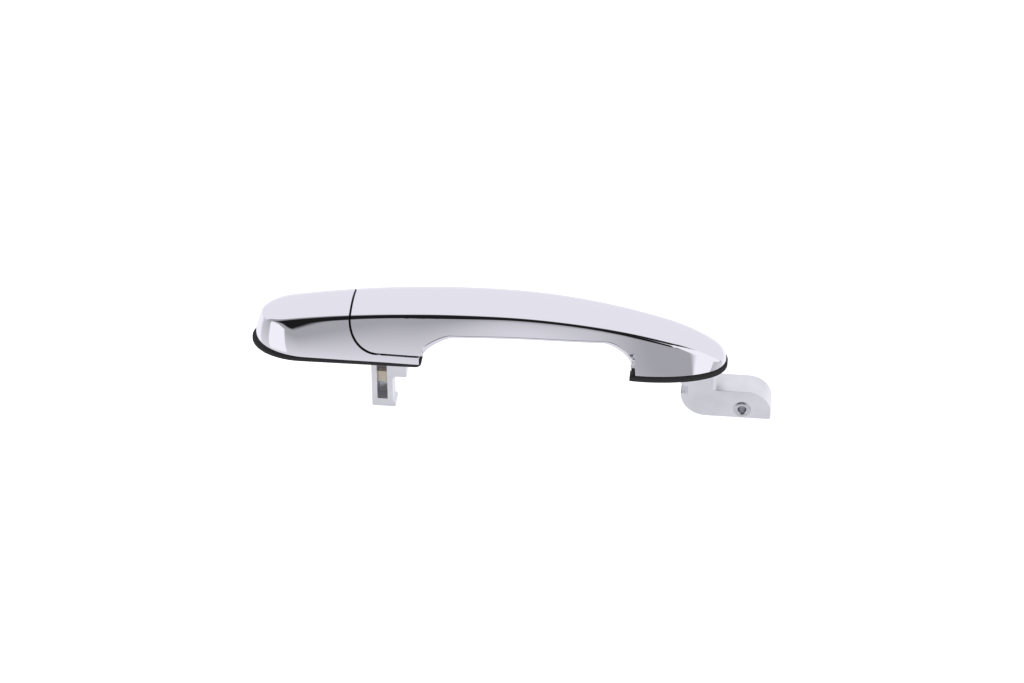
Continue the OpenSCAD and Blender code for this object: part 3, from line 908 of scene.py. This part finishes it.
def make_rear_gasket(settings):
    low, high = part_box("rear_gasket")
    form = Form(settings.side_bulge)
    half = (high[1] - low[1]) / 2
    corner = 3 * MM
    inner = half - 0.0008
    front = high[0]
    reach = form.rear_end * MM
    end = [(low[0] + reach * (1 - a), half * b) for a, b in arc(0, 0, 1, 90, -90, 40)]
    outline = (end
               + arc(front - corner, -inner + corner, corner, 270, 360, 8)
               + arc(front - corner, inner - corner, corner, 0, 90, 8))
    hook_low, hook_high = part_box("rear_hook")
    block_low, block_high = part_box("cap_insert")
    room = 2.4 * MM
    across = HOOK_OPENING_HALF
    holes = [
        box_loop(hook_low[0] - room, hook_high[0] + room, -across, across, 1.2 * MM),
        box_loop(block_low[0] - 0.001, block_high[0] + 0.001, -6 * MM, 6 * MM, 1.0 * MM)]
    obj = ring_sheet("rear_seal", outline, holes, low[2], high[2], gasket_place, settings.gasket_radius)
    finish_piece(obj, MATERIALS["rubber"], "door_side", "rubber", "rear_gasket")


def make_front_gasket(settings):
    form = Form(settings.side_bulge)
    low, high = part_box("front_gasket")
    thick = 3.0 * MM
    tip = high[0] / MM
    start = low[0] / MM
    n = 36
    side = []
    for i in range(n + 1):
        x = mix(start, tip, math.sin(math.pi / 2 * i / n))
        inset = form.rim * i / n
        half = form.foot_half(x - inset) * round_end(form.tip - x + inset, form.nose_l, form.nose_power)
        side.append((x * MM, (half + form.rim) * MM if i < n else 0.0))
    outline = side + [(x, -y) for x, y in reversed(side[:-1])]
    arm_low, arm_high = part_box("pivot_arm")
    hole = box_loop(-0.0316, -0.0137, arm_low[1] - 0.0005, arm_high[1] + 0.0005, 1.2 * MM)
    obj = ring_sheet(
        "front_seal", outline, [hole], low[2], low[2] + thick, gasket_place, settings.gasket_radius)
    finish_piece(obj, MATERIALS["rubber"], "door_side", "rubber", "front_gasket")
    # the lip stands up from the sheet, around the front foot's rear edge
    lip_x = form.toe * MM
    half = (form.foot_w / 2 - 0.4) * MM
    lip = ring_sheet(
        "front_seal_lip", box_loop(lip_x, lip_x + form.lip_t * MM, -half, half, 0.5 * MM), [],
        low[2] + 0.2 * MM, high[2], gasket_place, 0.35 * MM)
    finish_piece(lip, MATERIALS["rubber"], "door_side", "rubber")


# ---------------------------------------------------------------- hook and arm


def across_place(a, b, h):
    """Side profile: a along the handle, b up, h across."""
    return Vector((a, h, b))


def make_hook(settings):
    form = Form(settings.side_bulge)
    low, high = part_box("rear_hook")
    x0, x1 = low[0], high[0]
    jog = 1.6 * MM
    stem = x0 + jog
    bottom = low[2]
    door = form.door * MM
    top = door + 9.6 * MM
    leg = x0 + 10.8 * MM
    foot = leg + 1.2 * MM
    foot_h = 2.0 * MM
    step = 1.5 * MM
    shoulder = door - 16.8 * MM
    half = 4.8 * MM
    outline = [
        (stem, top), (stem, door + 0.6 * MM), (x0, door - 1.0 * MM), (x0, bottom),
        (foot, bottom), (foot, bottom + foot_h), (leg, bottom + foot_h + 1.2 * MM),
        (leg, shoulder - step), (leg + step, shoulder), (x1, shoulder), (x1, top)]
    obj = profile_solid("hook_leg", outline, -half, half, across_place)
    pocket_rear, pocket_front = x0 + 2.9 * MM, x0 + 7.9 * MM
    pocket_low, pocket_top = bottom + 4.9 * MM, door - 9.0 * MM
    pocket_d = 7.0 * MM
    pocket = profile_solid(
        "pocket_tool", [(pocket_rear, pocket_top), (pocket_rear, pocket_low),
                        (pocket_front, pocket_low), (pocket_front, pocket_top)],
        -half - 2.0 * MM, -half + pocket_d, across_place)
    cut(obj, pocket)
    add_bevel(obj, settings.cast_radius * 0.6)
    finish_piece(obj, MATERIALS["zinc"], "grip", "zinc", "rear_hook")
    flange = profile_solid(
        "hook_flange", box_loop(stem, x1, low[1], high[1], 0.0015), top, high[2], gasket_place)
    add_bevel(flange, 0.0003)
    finish_piece(flange, MATERIALS["zinc"], "grip", "zinc")


def make_arm(settings):
    low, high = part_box("pivot_arm")
    half = (high[1] - low[1]) / 2
    wall = 2.4 * MM
    top = high[2]
    lobe_low = low[2]
    lobe_top = lobe_low + 15.8 * MM
    end_r, end_x = 12.1 * MM, 2.3 * MM
    heel_r, heel_x = 13.0 * MM, -18.0 * MM
    ledge = lobe_low + heel_r
    stem_rear, stem_front = -31.0 * MM, -18.0 * MM
    notch_top = ledge + 4.9 * MM
    notch_l = 3.6 * MM
    notch_r, notch_end_r = 1.2 * MM, 1.4 * MM
    fillet = 2.6 * MM
    foot_l = 2.4 * MM
    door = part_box("front_gasket")[0][2]
    corner = 1.2 * MM
    stem_top = top - 1.5 * MM
    right = end_x + end_r
    outline = (
        [(stem_rear, stem_top)]
        + arc(stem_rear + notch_r, notch_top + notch_r, notch_r, 180, 270, 5)
        + arc(stem_rear + notch_l - notch_end_r, notch_top - notch_end_r, notch_end_r, 90, 0, 5)
        + [(stem_rear + notch_l, ledge)]
        + arc(heel_x, ledge, heel_r, 180, 270, 24)
        + arc(right - corner, lobe_low + corner, corner, 270, 360, 6)
        + arc(end_x, lobe_top - end_r, end_r, 0, 90, 24)
        + arc(stem_front + foot_l + fillet, lobe_top + fillet, fillet, 270, 180, 8)
        + [(stem_front, door), (stem_front, stem_top)])
    obj = profile_solid("arm_casting", outline, -half, half, across_place)
    below = lobe_low - 10.0 * MM
    channel_r = 2.0 * MM
    channel = (
        [(heel_x - 6.0 * MM, below), (right - wall, below)]
        + arc(end_x, lobe_top - end_r, end_r - wall, 0, 90, 20)
        + arc(heel_x - 4.0 * MM, lobe_top - wall - channel_r, channel_r, 90, 180, 6))
    cut(obj, profile_solid("channel_tool", channel, -half + wall, half - wall, across_place))
    bush_r, core_r, reach = 3.04 * MM, 0.1 * MM, 20.0 * MM
    bore = tube("bore_tool", Vector((0, 0, 0)), Vector((0, 1, 0)),
                [(-reach, bush_r), (reach, bush_r), (reach, core_r), (-reach, core_r)])
    cut(obj, bore)
    add_bevel(obj, settings.cast_radius)
    finish_piece(obj, MATERIALS["zinc"], "grip", "zinc", "pivot_arm")
    plate_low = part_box("arm_screws")[1][2] - 8.2 * MM
    plate = profile_solid(
        "arm_flange", box_loop(low[0], stem_front - 2.5 * MM, low[1], high[1], 1.5 * MM),
        plate_low, top, gasket_place)
    add_bevel(plate, 0.0003)
    finish_piece(plate, MATERIALS["zinc"], "grip", "zinc")


def make_bush(settings):
    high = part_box("pivot_bush")[1]
    flare = high[2]
    half = high[1]
    bore = 2.05 * MM
    body = 3.0 * MM
    lip = 0.8 * MM
    rings = [
        (-half + lip, body), (-half + lip, flare - 0.0002), (-half + 0.0006, flare),
        (-half + 0.0003, flare - 0.0002), (-half, flare - 0.0008), (-half, body),
        (-half + 0.0001, bore + 0.0005), (-half + 0.0005, bore)]
    rings += [(-a, r) for a, r in reversed(rings)]
    obj = tube("bush_tube", Vector((0, 0, 0)), Vector((0, 1, 0)), rings)
    add_bevel(obj, 0.0001, 2, 25)
    finish_piece(obj, MATERIALS["steel"], "grip", "steel", "pivot_bush")


# ---------------------------------------------------------------- stage


def ground(name, centre, size, colour, glow):
    """The studio floor. It glows a little, as a light table does."""
    bm = bmesh.new()
    w = size / 2
    corners = ((-w, -w), (w, -w), (w, w), (-w, w))
    bm.faces.new([bm.verts.new(Vector(centre) + Vector((a, b, 0))) for a, b in corners])
    obj = new_object(name, bm)
    s = Shader(name, base_color=colour, roughness=0.9, emission_color=colour, emission_strength=glow)
    obj.data.materials.append(s.material)
    obj.visible_glossy = False
    return obj


def reflected_room(name, centre, radius):
    """A ball that only reflections see: pale walls, a greyer floor and a dark slot in front."""
    bm = bmesh.new()
    bmesh.ops.create_uvsphere(bm, u_segments=64, v_segments=32, radius=radius)
    bmesh.ops.translate(bm, verts=bm.verts, vec=centre)
    obj = new_object(name, bm)
    s = Shader(name, base_color=(0, 0, 0), roughness=1.0, specular_ior_level=0.0, emission_strength=1.0)
    place = s.node("SeparateXYZ", vector=s.place())
    x, y, z = (Wire(s.tree, place.socket.node.outputs[i]) / radius for i in range(3))
    flat = (x * x + y * y) ** 0.5 + 0.001
    turn = x / flat
    front = (-y).ramp(0.0, 0.05)
    ground_light = 0.41 + 0.2 * (0.2 - z).ramp(0.0, 0.35) + 0.19 * (-z).ramp(0.15, 0.57)
    ground_light = ground_light + 0.4 * y.ramp(0.1, 0.3)
    ceiling = z.ramp(0.9, 0.95)
    wall = ceiling + (1 - front) * z.ramp(-0.1, 0.2) * (1 - ceiling)
    light = ground_light * (1 - wall) + 0.88 * wall
    slot = front * z.ramp(0.39, 0.45) * (1 - z.ramp(0.96, 0.985))
    slot = slot * (1 - turn.ramp(0.5, 0.56) * (1 - z.ramp(0.75, 0.85)))
    slot = slot * (1 - 0.75 * (-turn).ramp(0.88, 0.95))
    light = light * (1 - 0.97 * slot)
    under = 1 - z.ramp(0.26, 0.3)
    left = (-turn).ramp(0.62, 0.66) * (1 - (-turn).ramp(0.94, 0.955)) * z.ramp(-0.46, -0.40) * under * front
    right = turn.ramp(0.5, 0.56) * z.ramp(-0.05, 0.02) * (1 - z.ramp(0.75, 0.8)) * front
    light = light + 0.9 * (left + right)
    s.feed(emission_color=s.blend((0, 0, 0), (1.0, 0.995, 1.05), light))
    obj.data.materials.append(s.material)
    for flag in ("visible_camera", "visible_diffuse", "visible_shadow", "visible_transmission"):
        setattr(obj, flag, False)
    return obj


def area_light(name, place, aim, size, power):
    light = bpy.data.lights.new(name, "AREA")
    light.shape = "RECTANGLE"
    light.size, light.size_y = size
    light.energy = power
    obj = bpy.data.objects.new(name, light)
    obj.location = place
    obj.rotation_euler = (Vector(aim) - Vector(place)).to_track_quat("-Z", "Y").to_euler()
    obj.visible_glossy = False
    bpy.context.scene.collection.objects.link(obj)
    return obj


def make_stage(settings):
    form = Form(settings.side_bulge)
    scene = bpy.context.scene
    floor_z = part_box("rear_hook")[0][2] - 0.0004
    middle = Vector(((form.rear + form.front) / 2 * MM, 0, form.door * MM))
    ground("floor", (middle.x, 0, floor_z), 14.0, tuple(settings.floor_colour), 0.8)
    reflected_room("reflected_room", Vector((0, 0, 0)), 3.0)

    world = bpy.data.worlds.new("studio")
    scene.world = world
    world.use_nodes = True
    world.node_tree.nodes["Background"].inputs["Color"].default_value = (0.95, 0.945, 1.0, 1)
    world.node_tree.nodes["Background"].inputs["Strength"].default_value = 0.8
    area_light("overhead", middle + Vector((-0.3, -0.5, 1.6)), middle, (2.0, 2.0), 14)

    camera = bpy.data.cameras.new("camera")
    camera.lens = 100
    camera.sensor_width = 36
    camera.clip_end = 50
    obj = bpy.data.objects.new("camera", camera)
    turn, lift, away = math.radians(6.0), math.radians(35.3), 1.422
    aim = Vector((-0.1164, 0, 0.0278))
    obj.location = aim + away * Vector(
        (math.cos(lift) * math.sin(turn), -math.cos(lift) * math.cos(turn), math.sin(lift)))
    obj.rotation_euler = (aim - obj.location).to_track_quat("-Z", "Y").to_euler()
    scene.collection.objects.link(obj)
    scene.camera = obj
    scene.view_settings.view_transform = "Standard"
    scene.view_settings.look = "None"


# ---------------------------------------------------------------- operators


class PieceOperator:
    """Shared settings of the operators that build pieces."""

    bl_options = {"REGISTER", "UNDO"}
    builders = ()

    def execute(self, context):
        for build in self.builders:
            build(context.scene.handle_settings)
        return {"FINISHED"}


class HANDLE_OT_materials(PieceOperator, bpy.types.Operator):
    """Make the materials and give them to the CAD pieces"""

    bl_idname = "handle.materials"
    bl_label = "Materials"
    builders = (make_materials,)


class HANDLE_OT_cap(PieceOperator, bpy.types.Operator):
    """Build the chrome end cap with its tongue"""

    bl_idname = "handle.cap"
    bl_label = "End Cap"
    builders = (make_cap,)


class HANDLE_OT_grip(PieceOperator, bpy.types.Operator):
    """Build the chrome grip and the strip under its finger arch"""

    bl_idname = "handle.grip"
    bl_label = "Grip"
    builders = (make_grip, make_underside)


class HANDLE_OT_gaskets(PieceOperator, bpy.types.Operator):
    """Build both door gaskets"""

    bl_idname = "handle.gaskets"
    bl_label = "Gaskets"
    builders = (make_rear_gasket, make_front_gasket)


class HANDLE_OT_hook(PieceOperator, bpy.types.Operator):
    """Build the rear hook"""

    bl_idname = "handle.hook"
    bl_label = "Rear Hook"
    builders = (make_hook,)


class HANDLE_OT_arm(PieceOperator, bpy.types.Operator):
    """Build the pivot arm and its bush"""

    bl_idname = "handle.arm"
    bl_label = "Pivot Arm"
    builders = (make_arm, make_bush)


class HANDLE_OT_stage(PieceOperator, bpy.types.Operator):
    """Build the floor, the lights and the camera"""

    bl_idname = "handle.stage"
    bl_label = "Stage"
    builders = (make_stage,)


class HANDLE_PT_panel(bpy.types.Panel):
    """Handle tools in the sidebar"""

    bl_idname = "HANDLE_PT_panel"
    bl_label = "Door Handle"
    bl_space_type = "VIEW_3D"
    bl_region_type = "UI"
    bl_category = "Handle"

    def draw(self, context):
        settings = context.scene.handle_settings
        for name in settings.__annotations__:
            self.layout.prop(settings, name)
        for op in OPERATORS:
            self.layout.operator(op.bl_idname)


OPERATORS = (
    HANDLE_OT_materials, HANDLE_OT_cap, HANDLE_OT_grip, HANDLE_OT_gaskets,
    HANDLE_OT_hook, HANDLE_OT_arm, HANDLE_OT_stage)
CLASSES = (HandleSettings, *OPERATORS, HANDLE_PT_panel)


def register():
    for cls in CLASSES:
        bpy.utils.register_class(cls)
    bpy.types.Scene.handle_settings = PointerProperty(type=HandleSettings)


def unregister():
    del bpy.types.Scene.handle_settings
    for cls in reversed(CLASSES):
        bpy.utils.unregister_class(cls)


def main():
    register()
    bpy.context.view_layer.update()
    for op in OPERATORS:
        getattr(bpy.ops.handle, op.bl_idname.split(".")[1])()


if __name__ == "__main__":
    main()
